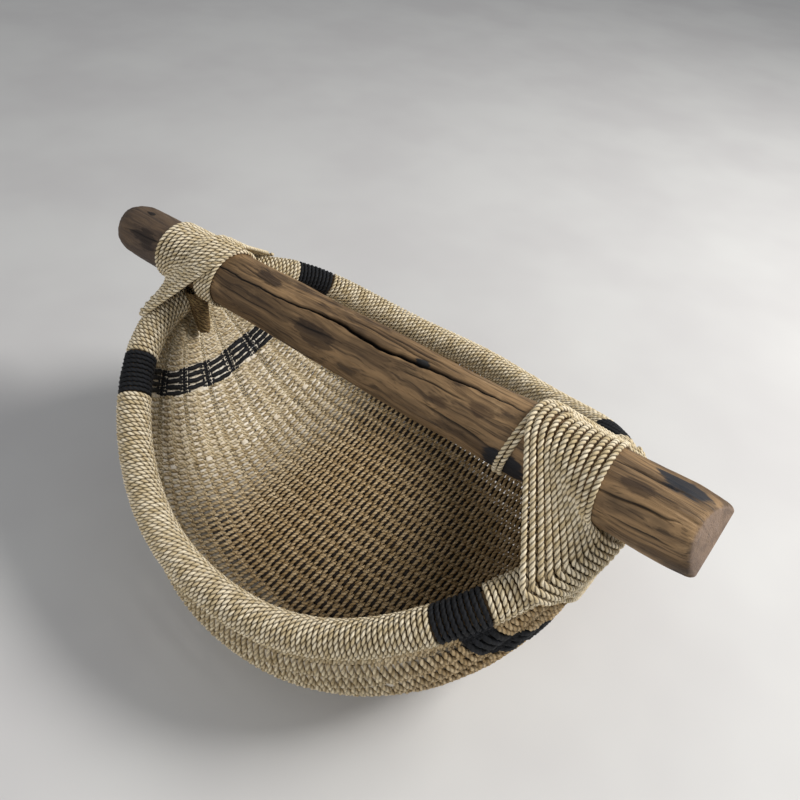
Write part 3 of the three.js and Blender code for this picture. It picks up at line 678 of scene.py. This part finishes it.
def cords(name, node, paths, radius, lay, sides, waist, material, slot, seed, slim=None):
    """Twisted cords along paths, as one piece. slim has each one's thickness in shares of radius."""
    profile = bpy.data.curves.new(name + "_profile", "CURVE")
    ring = profile.splines.new("POLY")
    ring.points.add(sides - 1)
    ring.use_cyclic_u = True
    around = -np.arange(sides) * FULL_TURN / sides
    reach = two_ply(sides, waist) * radius * MM
    for point, angle, r in zip(ring.points, around, reach):
        point.co = (r * math.cos(angle), r * math.sin(angle), 0, 1)
    carrier = bpy.data.objects.new(name + "_profile", profile)
    curve = bpy.data.curves.new(name, "CURVE")
    curve.dimensions = "3D"
    runs = []
    rng = np.random.default_rng(seed + 11)
    for i, path in enumerate(paths):
        spline = curve.splines.new("POLY")
        spline.points.add(len(path) - 1)
        co = np.ones((len(path), 4))
        co[:, :3] = path * MM
        spline.points.foreach_set("co", co.ravel())
        steps = np.linalg.norm(np.diff(path, axis=0), axis=1)
        run = np.concatenate([[0], np.cumsum(steps)])
        start = rng.uniform(0, 900)
        spline.points.foreach_set("tilt", (run + start) / lay * FULL_TURN)
        spline.points.foreach_set("radius", np.ones(len(path)) if slim is None else slim[i])
        runs.append(run + start * 7)
    curve.bevel_mode = "OBJECT"
    curve.bevel_object = carrier
    curve.use_fill_caps = False
    body = bpy.data.objects.new(name + "_curve", curve)
    bpy.context.collection.objects.link(body)
    shown = body.evaluated_get(bpy.context.evaluated_depsgraph_get())
    mesh = bpy.data.meshes.new_from_object(shown)
    bpy.data.objects.remove(body)
    bpy.data.objects.remove(carrier)
    along = np.repeat(np.concatenate(runs), sides)
    turn = np.tile(-around, len(along) // sides)
    fibre = np.stack([np.cos(turn), np.sin(turn), along], -1)
    attribute = mesh.attributes.new("fibre", "FLOAT_VECTOR", "POINT")
    attribute.data.foreach_set("vector", fibre.ravel())
    work = bmesh.new()
    work.from_mesh(mesh)
    bmesh.ops.holes_fill(work, edges=[e for e in work.edges if e.is_boundary])
    work.to_mesh(mesh)
    work.free()
    mesh.materials.clear()
    mesh.name = name
    mesh.shade_smooth()
    adopt(name, mesh, material, slot, node)


# Weave: every row is one cord that passes over and under the ribs one by one in the middle, and in
# pairs or in groups of GATHERED towards the ends and in the black bands

def group_of(ribs, group):
    """The first rib of the group that a place across lies in, and how many ribs that group has."""
    last = (RIB_COUNT - 1) // group
    start = np.minimum(np.floor(ribs / group), last) * group
    return start, np.minimum(group, RIB_COUNT - start)


def drawn_together(ribs, drawn):
    """Where a place across, counted in ribs, moves to when the ribs draw together in groups."""
    places = [0.0]
    targets = [0.0]
    for start in range(0, RIB_COUNT, GATHERED):
        size = min(GATHERED, RIB_COUNT - start)
        centre = start + size / 2
        for k in range(size):
            places.append(start + k + 0.5)
            targets.append(centre + (k + 0.5 - size / 2) * GATHERED_PITCH)
        places.append(start + size)
        targets.append(start + size)
    return mix(ribs, np.interp(ribs, places, targets), drawn)


def over_under(ribs, group):
    """A row's wave: 1 on the inner side of a group of ribs, -1 on the outer side, level between."""
    start, size = group_of(ribs, group)
    reach = np.abs(ribs - start - size / 2) / (size / 2)
    if group == 1:
        crest = np.cos(math.pi / 2 * reach) ** SINGLE_CREST
    else:
        crest = 1 - smooth((reach - GROUP_CREST) / GROUP_SLOPE)
    return np.where(start / group % 2 == 0, 1, -1) * crest


def weave_rows(along, group, first_row, radius):
    """Paths of the rows of one zone and the thickness along them."""
    rng = np.random.default_rng(5 + first_row)
    paths = []
    slims = []
    for j, (angle, girth, drawn) in enumerate(zip(along, Wall(along).girth(), pairing(along))):
        count = max(8, int(girth / ROW_STEP))
        ribs = np.linspace(0, RIB_COUNT, count)
        side = 1 if (first_row + j) % 2 else -1
        reach = angle / (ROUND_BAND if angle < 0 else SAWN_BAND)
        wave = side * over_under(ribs, 2 if group == 1 and reach > PAIRED_FROM else group)
        sway = sum(size * np.sin(ribs * pace + rng.uniform(0, 6.3)) for size, pace in ROW_SWAY)
        depth = min(mix(WEAVE_WAVE, GATHERED_WAVE, drawn), WAVE_LIMIT * girth / RIB_COUNT)
        inset = depth * wave * (1 + SWAY_DEPTH * sway)
        places = drawn_together(ribs, drawn)
        points = Wall([angle]).place(places[None], inset[None])[0]
        nearby = Wall([angle + 1e-3]).place(places[None], inset[None])[0]
        points = points + unit(nearby - points) * sway[:, None]
        start = points[0] + unit(points[0] - points[3]) * ROW_TAIL[:, None]
        finish = points[-1] + unit(points[-1] - points[-4]) * ROW_TAIL[::-1, None]
        points = np.concatenate([start, points, finish])
        points[:, 2] = np.maximum(points[:, 2], FLOOR_CLEARANCE * radius)
        fuller = SAWN_END_SWELL * min(1, reach * 1.5) if angle > 0 else 0
        slim = mix(SINGLE_THICKNESS, GATHERED_THICKNESS, drawn) + CREST_SWELL * np.abs(wave) + fuller
        paths.append(points)
        slims.append(np.concatenate([slim[:1], slim[:1], slim, slim[-1:], slim[-1:]]))
    return paths, slims


def zone_rows(start, end, rows):
    """The angles of a zone's rows: as many as given, or as fit at ROW_ANGLE where rows is 0."""
    count = rows or max(2, int(round(abs(end - start) / ROW_ANGLE)))
    half = (end - start) / count / 2
    return np.linspace(start + half, end - half, count)


def make_weave():
    first = ROUND_BAND - BAND_HALF
    second = ROUND_BAND + BAND_HALF
    third = SAWN_BAND - BAND_HALF
    fourth = SAWN_BAND + BAND_HALF
    straw = (WEAVE_CORD, WEAVE_WAIST, WEAVE_STRAW, "straw_weave")
    black = (BLACK_WEAVE_CORD, BLACK_WEAVE_WAIST, BLACK, "black_cord")
    zones = (
        # name, first and last angle, rows (0 where they follow from the length), group, cord, pieces
        ("round_end", -WEAVE_END_ROUND, first, 0, GATHERED, straw, 1),
        ("black_band_round_end", first, second, BAND_ROWS, GATHERED, black, 1),
        ("middle", second, third, 0, 1, straw, 5),
        ("black_band_sawn_end", third, fourth, BAND_ROWS, GATHERED, black, 1),
        ("sawn_end", fourth, WEAVE_END_SAWN, 0, GATHERED, straw, 1),
    )
    row = 0
    for name, start, end, count, group, (radius, waist, material, slot), pieces in zones:
        for k, part in enumerate(np.array_split(zone_rows(start, end, count), pieces)):
            paths, slims = weave_rows(part, group, row, radius)
            title = f"woven_{name}" if pieces == 1 else f"woven_{name}_{k + 1}"
            cords(title, "weave_" + name, paths, radius, WEAVE_LAY, WEAVE_SIDES, waist,
                  material, slot, row, slims)
            row += len(part)


def flat_box(stations, lanes):
    """A box cut into stations along x and lanes along y, with each vertex's two indices and side."""
    work = bmesh.new()
    bmesh.ops.create_cube(work, size=2)
    indices = []
    for axis, count in ((0, stations), (1, lanes)):
        edges = [e for e in work.edges if abs(e.verts[0].co[axis] - e.verts[1].co[axis]) > 1]
        bmesh.ops.subdivide_edges(work, edges=edges, cuts=count - 2, use_grid_fill=True)
    flat = np.array([v.co[:] for v in work.verts])
    for axis, count in ((0, stations), (1, lanes)):
        indices.append(np.round((flat[:, axis] + 1) / 2 * (count - 1)).astype(int))
    return work, *indices, flat[:, 2:3] > 0


def make_ribs():
    """Each rib is a flat splint with a slightly crowned face, from end to end of the bowl.

    Its width follows the ribs' pitch where they crowd.
    """
    along = np.linspace(-RIB_END, RIB_END, RIB_STATIONS)
    wall = Wall(along)
    pitch = wall.girth() / RIB_COUNT
    drawn = pairing(along)
    lanes = np.linspace(-1, 1, RIB_LANES)
    widest = mix(RIB_WIDTH, RIB_WIDTH_GATHERED, drawn)
    width = np.minimum(widest, pitch * mix(RIB_SHARE, RIB_SHARE_GATHERED, drawn))
    crown = RIB_HALF_THICKNESS + RIB_CROWN * (1 - lanes ** 2)
    for i in range(RIB_COUNT):
        centre = drawn_together(np.full(len(along), i + 0.5), drawn)
        work, station, lane, on_face = flat_box(RIB_STATIONS, RIB_LANES)
        ribs = np.stack([centre + share * width / 2 / pitch for share in lanes], -1)
        face = wall.place(ribs, np.broadcast_to(crown, ribs.shape))
        back = wall.place(ribs, np.full(ribs.shape, -RIB_HALF_THICKNESS))
        points = np.where(on_face, face[station, lane], back[station, lane])
        for vertex, point in zip(work.verts, points * MM):
            vertex.co = point
        bmesh.ops.recalc_face_normals(work, faces=work.faces)
        name = f"splint_{i + 1:02d}"
        mesh = bpy.data.meshes.new(name)
        work.to_mesh(mesh)
        work.free()
        mesh.shade_smooth()
        adopt(name, mesh, SPLINT, "splint", f"rib_{i + 1:02d}")


# Rim windings

def wound(turns_at, pitch, radius, seed):
    """A helix round the rim between two turns of it, whose loops drift, lean and waver a little."""
    length = rim_length(*turns_at)
    loops = round(length / pitch)
    count = int(loops * FULL_TURN * radius / WINDING_STEP)
    t = np.linspace(0, 1, count)
    turns = rim_run(turns_at[0], length * np.sign(turns_at[1] - turns_at[0]), 800)
    rng = np.random.default_rng(seed)
    phase = rng.uniform(0, 6.3, 4)
    slow, quick = WINDING_DRIFT
    drift = slow * np.sin(t * loops * 0.23 + phase[0]) + quick * np.sin(t * loops * 1.1 + phase[1])
    lean = WINDING_LEAN * np.sin(t * loops * FULL_TURN + phase[2])
    from_ends = np.minimum(1, np.minimum(t, 1 - t) * 40)
    share = np.clip(t * length + (drift + lean) * from_ends, 0, length) / length
    at = np.interp(share, np.linspace(0, 1, len(turns)), turns)
    out, up = rim_frame(at)
    angle = t * loops * FULL_TURN - math.pi / 2
    r = radius + WINDING_WOBBLE * np.sin(t * loops * 5.1 + phase[3])
    return rim_point(at) + (out * np.cos(angle)[:, None] + up * np.sin(angle)[:, None]) * r[:, None]


def make_rim():
    front_round = rim_turn(BAND_X_ROUND_END, -1)
    front_sawn = rim_turn(BAND_X_SAWN_END, -1)
    back_sawn = rim_turn(BAND_X_SAWN_END, 1)
    back_round = rim_turn(BAND_X_ROUND_END, 1)
    half = BLACK_TURNS * BLACK_PITCH / 2

    def beside(turn, offset):
        return rim_run(turn, offset, 3)[-1]

    wraps = (
        ("black_wrap_front_round_end", front_round), ("black_wrap_front_sawn_end", front_sawn),
        ("black_wrap_back_sawn_end", back_sawn), ("black_wrap_back_round_end", back_round),
    )
    for i, (node, turn) in enumerate(wraps):
        span = (beside(turn, -half), beside(turn, half))
        path = wound(span, BLACK_PITCH, HOOP_RADIUS + WINDING_GAP + BLACK_CORD, i)
        cords(node + "_cord", node, [path], BLACK_CORD, CORD_LAY, RIM_CORD_SIDES, BLACK_WAIST,
              BLACK, "black_cord", i)
    gap = half + WINDING_GAP
    runs = (
        ("rim_wrap_front", front_round, front_sawn),
        ("rim_wrap_sawn_end", front_sawn, back_sawn),
        ("rim_wrap_back", back_sawn, back_round),
        ("rim_wrap_round_end", back_round, front_round + FULL_TURN),
    )
    for i, (node, start, end) in enumerate(runs):
        span = (beside(start, gap), beside(end, -gap))
        path = wound(span, WRAP_PITCH, RIM_WRAP_RADIUS - CORD, 20 + i)
        cords(node + "_cord", node, [path], CORD, CORD_LAY, RIM_CORD_SIDES, WRAP_WAIST,
              STRAW, "straw_cord", 20 + i)


# Driftwood bar

def bar_share(x):
    """How far along the bar a place lies: 0 at the round end, 1 at the sawn end."""
    return (np.asarray(x, float) + BAR_HALF_LENGTH) / (2 * BAR_HALF_LENGTH)


def bar_radius(x):
    t = bar_share(x)
    lower = mix(BAR_RADIUS_ROUND_END, BAR_RADIUS_MIDDLE, t * 2)
    return np.where(t < 0.5, lower, mix(BAR_RADIUS_MIDDLE, BAR_RADIUS_SAWN_END, t * 2 - 1))


def bar_axis_y(x):
    return mix(BAR_Y_ROUND_END, BAR_Y_SAWN_END, bar_share(x))


POLES = (RIM_SHIFT - RIM_HALF_LENGTH, RIM_SHIFT + RIM_HALF_LENGTH)


def seat_height(x):
    """Height of the bar's axis where it rests on the rim wrapping."""
    return RIM_HEIGHT + RIM_END_RISE + RIM_WRAP_RADIUS + SEAT_GAP + float(bar_radius(x))


def bar_axis_z(x):
    t = (np.asarray(x, float) - POLES[0]) / (POLES[1] - POLES[0])
    return mix(seat_height(POLES[0]), seat_height(POLES[1]), t)


def bar_profile():
    """Places along the bar and shares of its radius: snout, body, sawn shoulder, chamfer and face."""
    tip = SNOUT_TIP
    end = BAR_HALF_LENGTH
    edge = end - SAWN_CHAMFER
    rounded = np.linspace(0.06, math.pi / 2, SNOUT_RINGS)
    snout = [(tip + SNOUT_LENGTH * (1 - math.cos(a)), math.sin(a)) for a in rounded]
    straight = np.linspace(tip + SNOUT_LENGTH + 2, end - SAWN_SHOULDER, BODY_RINGS)
    body = [(x, 1.0) for x in straight]
    falling = np.linspace(0.08, 1, SHOULDER_RINGS)
    shoulder = [(mix(end - SAWN_SHOULDER, edge, t), 1 - 0.05 * t * t) for t in falling]
    turning = np.linspace(0.15, 1.5, CHAMFER_RINGS)
    chamfer = [(edge + SAWN_CHAMFER * math.sin(a), 0.8 + 0.15 * math.cos(a)) for a in turning]
    face = [(end + 0.1 * t, mix(0.79, 0.04, t)) for t in np.linspace(0, 1, FACE_RINGS)]
    return snout + body + shoulder + chamfer + face


def worn_radius(x, angle, share):
    """The bar's radius at a place: swollen, flattened and lumpy where no cord binds it, furrowed."""
    on_seat = min(abs(x - pole) for pole in POLES)
    free = float(smooth((on_seat - SEAT_HALF) / SEAT_FADE))
    looseness = max(free, float(smooth((abs(x) - END_FREE) / END_FADE)))
    flats = 0.05 * math.cos(3 * angle + x * 0.006) + 0.025 * math.sin(2 * angle - x * 0.011) - 0.035
    around = Vector((x * 0.011, math.cos(angle) * 1.4, math.sin(angle) * 1.4))
    lumps = noise.noise(around + LUMP_SHIFT) * LUMP_HEIGHT * looseness
    grain = Vector((x * 0.012, math.cos(angle) * 9, math.sin(angle) * 9))
    furrow = noise.fractal(grain, 0.7, 2.1, 4) * (0.4 + 0.3 * looseness)
    return (float(bar_radius(x)) * (1 + free * flats) + lumps + furrow) * share


def groove(angle, line, radius, half_width):
    """How deep into a groove a place round the bar lies: 1 at its middle, 0 at its edges."""
    off = abs((angle - line + math.pi) % FULL_TURN - math.pi) * radius
    return max(0.0, 1 - off / half_width)


def cracked(x, angle, share):
    """How deep the main crack and the checks cut at a place on the bar, and how much painted shade
    darkens them.
    """
    radius = float(bar_radius(x))
    depth = 0.0
    dark = 0.0
    if CRACK_RUN[0] < x < CRACK_RUN[-1]:
        waver = sum(size * math.sin(x * pace) for size, pace in CRACK_WAVER)
        line = math.radians(float(np.interp(x, CRACK_RUN, CRACK_ANGLE)) + waver)
        half_width = float(np.interp(x, CRACK_RUN, CRACK_WIDTH)) + CRACK_LIP
        cut = groove(angle, line, radius, half_width)
        depth = float(np.interp(x, CRACK_RUN, CRACK_DEPTH)) * min(1, cut * 1.7)
        dark = min(1, cut * 2.0)
    for start, finish, first, last, half_width, check_depth in CHECKS:
        if start < x < finish:
            t = (x - start) / (finish - start)
            fade = math.sin(math.pi * t) ** 0.5
            waver = 1.6 * math.sin(x * 0.05 + first) + 0.8 * math.sin(x * 0.17 + last)
            line = math.radians(mix(first, last, t) + waver)
            cut = groove(angle, line, radius, half_width * fade + CHECK_LIP)
            depth += check_depth * cut * fade * share
            dark = max(dark, min(1, cut * 1.3) * fade * 0.8)
    return depth, dark


def slanted(x, angle, share):
    """How far a place is cut back by the sawn face's slant, which falls to its upper front."""
    from_start = x - BAR_HALF_LENGTH + SLANT_LENGTH
    if from_start <= 0:
        return 0.0
    lean = (math.sin(angle) * 0.75 - math.cos(angle) * 0.55) * share
    return max(0.0, lean) * SLANT * smooth(from_start / SLANT_LEVEL)


def make_bar():
    """A capped cylinder whose rings are laid along the bar, then worn, cracked and cut at a slant."""
    profile = bar_profile()
    work = bmesh.new()
    bmesh.ops.create_cone(work, cap_ends=True, segments=BAR_SIDES, radius1=1, radius2=1, depth=2)
    lengthwise = [e for e in work.edges if abs(e.verts[0].co.z - e.verts[1].co.z) > 1]
    bmesh.ops.subdivide_edges(work, edges=lengthwise, cuts=len(profile) - 2, use_grid_fill=True)
    heights = sorted({round(v.co.z, 5) for v in work.verts})
    order = {h: i for i, h in enumerate(heights)}
    # Each vertex keeps how much painted shade its crack gives it
    crack_shade = work.verts.layers.float.new("crack_shade")
    for v in work.verts:
        x, share = profile[min(order[round(v.co.z, 5)], len(profile) - 1)]
        angle = math.atan2(v.co.y, v.co.x)
        depth, v[crack_shade] = cracked(x, angle, share)
        r = worn_radius(x, angle, share) - depth
        y = float(bar_axis_y(x)) + r * math.cos(angle)
        z = float(bar_axis_z(x)) + r * math.sin(angle)
        v.co = Vector((x - slanted(x, angle, share), y, z)) * MM
    bmesh.ops.recalc_face_normals(work, faces=work.faces)
    mesh = bpy.data.meshes.new("weathered_bar")
    work.to_mesh(mesh)
    work.free()
    mesh.shade_smooth()
    adopt("weathered_bar", mesh, DRIFTWOOD, "driftwood", "driftwood_bar")


# Lashings

def meridian(turn, depth_angle):
    """A point of the bowl below a turn of the rim, by its angle of depth."""
    ring = np.cos(depth_angle)
    return bowl_from_direction(ring * np.cos(turn), ring * np.sin(turn), np.sin(depth_angle))


def outer_skin(turn, run, hang, lift):
    """Where a cord's centre lies outside the bowl's end, a run below the rim's outermost line."""
    skin = RIM_WRAP_RADIUS + lift
    out, up = rim_frame(turn)
    roll = -np.minimum(run, skin * hang) / skin
    extra = np.maximum(run - skin * hang, 0)[:, None]
    tube = rim_point(turn) + skin * (out * np.cos(roll)[:, None] + up * np.sin(roll)[:, None])
    hanging = tube - extra * (out * math.sin(hang) + up * math.cos(hang))

    def above(angle):
        return meridian(turn, angle)[:, 2] > hanging[:, 2]

    angle = bisect(above, np.zeros_like(turn), np.full_like(turn, math.pi / 2))
    da = meridian(turn + TINY, angle) - meridian(turn - TINY, angle)
    db = meridian(turn, angle + TINY) - meridian(turn, angle - TINY)
    normal = unit(np.cross(da, db))
    normal *= np.sign((normal * out).sum(-1, keepdims=True))
    on_wall = meridian(turn, angle) + normal * (WEAVE_WAVE + WEAVE_CORD + lift)
    outside = ((on_wall - hanging) * out).sum(-1, keepdims=True) > 0
    return np.where(outside & (extra > 0), on_wall, hanging)


def round_bar(x, angle, lift):
    """Points at angles round the bar, lifted off its surface."""
    r = bar_radius(x) + lift
    return np.stack([x, bar_axis_y(x) + r * np.cos(angle), bar_axis_z(x) + r * np.sin(angle)], -1)


def pile(end, x):
    """How far a lashing is raised at x by the winding on the bar that lies under it there."""
    turns, first, lean = BAR_TURNS[end]
    reach = turns * BAR_TURN_PITCH + lean + 4
    covered = first - lean - x if end > 0 else x - first - lean
    beyond = np.maximum(np.maximum(covered, -covered - reach), 0)
    return 2 * CORD * (1 - smooth((beyond - 1) / PILE_FADE))


def leaving_angle(end, x, start, side):
    """The angle round the bar at which a straight cord from a point on the rim meets it."""
    y = start[1] - float(bar_axis_y(x))
    z = start[2] - float(bar_axis_z(x))
    radius = float(bar_radius(x)) + CORD + float(pile(end, x))
    lean = math.acos(min(1, radius / math.hypot(y, z)))
    angle = math.atan2(z, y) + side * lean
    return angle + FULL_TURN if angle < -math.pi / 2 else angle


LOOP_ANGLES = np.radians([0, 14, 23, 33, 48, 68, 90, 112, 132, 147, 157, 166, 180])
LOOP_POINTS = 61
TURN_POINTS = 20


def lashing(end, route):
    """One cord, each of whose turns loops round the bowl's end and then goes over the bar."""
    turns = route["turns"]
    cord = route["cord"]

    def at(key, u):
        return mix(route[key][0], route[key][1], u)

    def turn_at(y):
        angle = np.arcsin(y / RIM_HALF_WIDTH)
        return angle if end > 0 else math.pi - angle

    skin = RIM_WRAP_RADIUS + cord
    top_run = -skin * TOP_ROLL
    power = 2 / LOOP_ROUNDNESS

    def loop(k):
        last = len(LOOP_ANGLES) - 1
        place = np.linspace(0, last, LOOP_POINTS)
        u = np.clip((k + place / TURN_POINTS) / turns, 0, 1)
        angle = np.interp(place, np.arange(last + 1), LOOP_ANGLES)
        swing = np.sign(np.cos(angle)) * np.abs(np.cos(angle)) ** power
        middle = (at("front_bend", u) + at("back_bend", u)) / 2
        half = (at("back_bend", u) - at("front_bend", u)) / 2
        run = top_run + (at("drop", u) - top_run) * np.abs(np.sin(angle)) ** power
        lift = cord + route["layers"] * (k % 2)
        return outer_skin(turn_at(middle + swing * half), run, route["hang"], lift)

    path = []
    loops = [loop(k) for k in range(turns + 1)]
    for k in range(turns):
        path.append(loops[k])
        u = min(1, (k + OVER_BAR) / turns)
        start = leaving_angle(end, at("front", u), loops[k][-1], -1)
        finish = leaving_angle(end, at("back", u), loops[k + 1][0], 1)
        t = np.linspace(0, 1, 37)
        x = at("front", u) * (1 - t) * (1 - 2 * t)
        x = x + at("top", u) * 4 * t * (1 - t) + at("back", u) * t * (2 * t - 1)
        angle = mix(start, finish, t)
        path.append(round_bar(x, angle, cord + pile(end, x)))
    return resample(np.concatenate(path), CORD_STEP, 2)


def bar_winding(end):
    turns, first, lean = BAR_TURNS[end]
    angle = np.linspace(0, turns * FULL_TURN, turns * 150) - math.pi / 2
    done = (angle + math.pi / 2) / FULL_TURN - (turns if end > 0 else 0)
    x = first + end * BAR_TURN_PITCH * done + lean * np.sin(angle)
    return resample(round_bar(x, angle, CORD), CORD_STEP)


def make_lashings():
    ends = (("round_end", -1, LASHING_ROUND_END), ("sawn_end", 1, LASHING_SAWN_END))
    for name, end, route in ends:
        node = "lashing_" + name
        cords(node + "_cord", node, [lashing(end, route)], route["cord"], CORD_LAY, LASHING_SIDES,
              LASHING_WAIST, STRAW, "straw_cord", 40 + end)
    for name, end, _ in ends:
        node = "bar_turns_" + name
        cords(node + "_cord", node, [bar_winding(end)], CORD, CORD_LAY, LASHING_SIDES,
              BAR_TURN_WAIST, STRAW, "straw_cord", 50 + end)


def make_bundles():
    """A short horn of bound ribs under the bar, wound with cord from its tip to its head. Its cord is
    straw darkened as painted shade from the bar above.
    """
    for node, side, head, tip, girth, low in HORNS:
        top = float(bar_axis_z(head[0])) - float(bar_radius(head[0]))
        turns = int((top - low) / HORN_PITCH)
        angle = np.linspace(0, turns * FULL_TURN, turns * 44)
        t = angle / angle[-1]
        r = mix(HORN_TIP, girth - HORN_INSET, t ** HORN_TAPER)
        x = mix(tip[0], head[0], t) + r * np.cos(angle)
        y = mix(tip[1], head[1], t) + r * np.sin(angle)
        path = np.stack([x, y, mix(low + HORN_INSET, top - HORN_INSET, t)], -1)
        cords(node + "_cord", node, [path], HORN_CORD, HORN_LAY, RIM_CORD_SIDES, HORN_WAIST,
              SHADED_STRAW, "dark_straw_cord", 60 + side)


# Stage

def make_stage():
    work = bmesh.new()
    bmesh.ops.create_grid(work, x_segments=1, y_segments=1, size=FLOOR_HALF)
    mesh = bpy.data.meshes.new("pale_floor")
    work.to_mesh(mesh)
    work.free()
    f = Finish("pale_floor", 0.9, 0.2)
    cloud = f.grain(f.place(), 3.0, 3.0)
    tone = f.colour(cloud.ramp(0.3, 0.7), linear("cecccb"), linear("d6d5d3"))
    mesh.materials.append(f.finish(tone, None, None, 0, 0))
    floor = bpy.data.objects.new("pale_floor", mesh)
    bpy.context.collection.objects.link(floor)


def add_lamp(name, place, size, power, colour):
    data = bpy.data.lights.new(name, "AREA")
    data.shape = "DISK"
    data.size = size
    data.energy = power
    data.color = colour
    lamp = bpy.data.objects.new(name, data)
    lamp.location = place
    lamp.rotation_euler = (Vector(LAMP_AIM) - Vector(place)).to_track_quat("-Z", "Y").to_euler()
    bpy.context.collection.objects.link(lamp)


def light_and_camera():
    scene = bpy.context.scene
    scene.view_settings.view_transform = "Standard"
    world = bpy.data.worlds.new("soft_room")
    world.use_nodes = True
    background = world.node_tree.nodes["Background"]
    background.inputs["Color"].default_value = (0.93, 0.96, 1.0, 1)
    background.inputs["Strength"].default_value = 0.33
    scene.world = world
    add_lamp("window", (1.35, 1.15, 1.7), 0.9, 56, (1.0, 0.985, 0.96))
    add_lamp("fill", (0.2, -1.9, 0.8), 1.4, 11, (1, 1, 1))
    data = bpy.data.cameras.new("photo_view")
    data.lens = CAMERA_LENS
    data.sensor_width = CAMERA_SENSOR
    data.clip_start = 0.01
    camera = bpy.data.objects.new("photo_view", data)
    backward = -Vector(CAMERA_FORWARD)
    turn = Matrix((CAMERA_RIGHT, CAMERA_UP, backward)).transposed().to_4x4()
    camera.matrix_world = Matrix.Translation(Vector(CAMERA_PLACE)) @ turn
    bpy.context.collection.objects.link(camera)
    scene.camera = camera


def finish_hoop():
    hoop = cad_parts["rim_hoop"]
    for slot in hoop.material_slots:
        slot.material = CANE


finish_hoop()
make_weave()
make_ribs()
make_rim()
make_bar()
make_lashings()
make_bundles()
make_stage()
light_and_camera()
